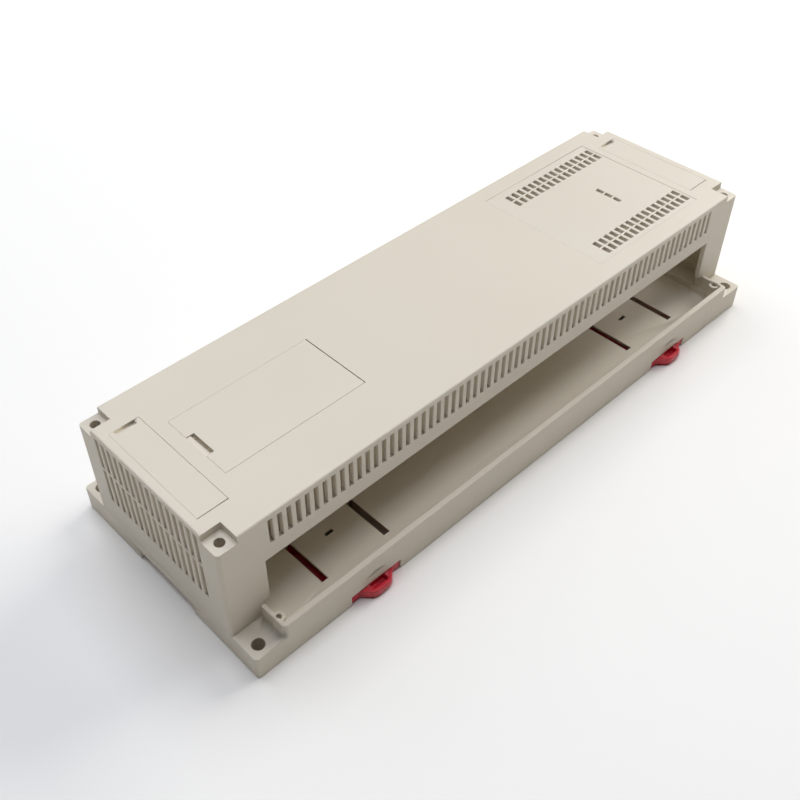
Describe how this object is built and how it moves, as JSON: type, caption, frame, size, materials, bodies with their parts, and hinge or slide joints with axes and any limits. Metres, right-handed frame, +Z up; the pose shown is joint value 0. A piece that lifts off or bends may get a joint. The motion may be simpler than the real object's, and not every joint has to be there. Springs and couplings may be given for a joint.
{
  "type": "din rail enclosure",
  "caption": "Long ventilated DIN rail enclosure: clip-on tray with corner ears, and a cover with open long sides, hinged flaps and a grille panel.",
  "frame": {"origin": "on the underside plane, in the middle of the four panel screw holes", "axes": "+X along the length towards the grille panel, -Y the front with the pull tabs of the rail clips, +Z up out of the cover's top"},
  "size_m": [0.3, 0.1142, 0.06],
  "materials": {
    "case_plastic": "fine matte mould texture, warm ivory",
    "flap_plastic": "fine matte mould texture, warm ivory",
    "clip_plastic": "satin crimson red"
  },
  "bodies": {
    "case": {"base_tray": "case_plastic", "top_cover": "case_plastic", "vent_panel": "flap_plastic"},
    "door": {"top_door": "flap_plastic"},
    "left_flap": {"left_end_flap": "flap_plastic"},
    "right_flap": {"right_end_flap": "flap_plastic"},
    "clip_left": {"din_clip_left": "clip_plastic"},
    "clip_right": {"din_clip_right": "clip_plastic"}
  },
  "joints": [
    {"name": "door_hinge", "type": "hinge", "parent": "case", "child": "door", "pos_m": [-0.0639, 0, 0.0585], "axis": [0, 1, 0], "range_deg": [0, 100]},
    {"name": "left_flap_hinge", "type": "hinge", "parent": "case", "child": "left_flap", "pos_m": [-0.13975, -0.025, 0.0585], "axis": [1, 0, 0], "range_deg": [0, 100]},
    {"name": "right_flap_hinge", "type": "hinge", "parent": "case", "child": "right_flap", "pos_m": [0.13975, -0.025, 0.0585], "axis": [1, 0, 0], "range_deg": [0, 100]},
    {"name": "clip_left_slide", "type": "slide", "parent": "case", "child": "clip_left", "axis": [0, -1, 0], "range_m": [0, 0.0045]},
    {"name": "clip_right_slide", "type": "slide", "parent": "case", "child": "clip_right", "axis": [0, -1, 0], "range_m": [0, 0.0045]}
  ]
}
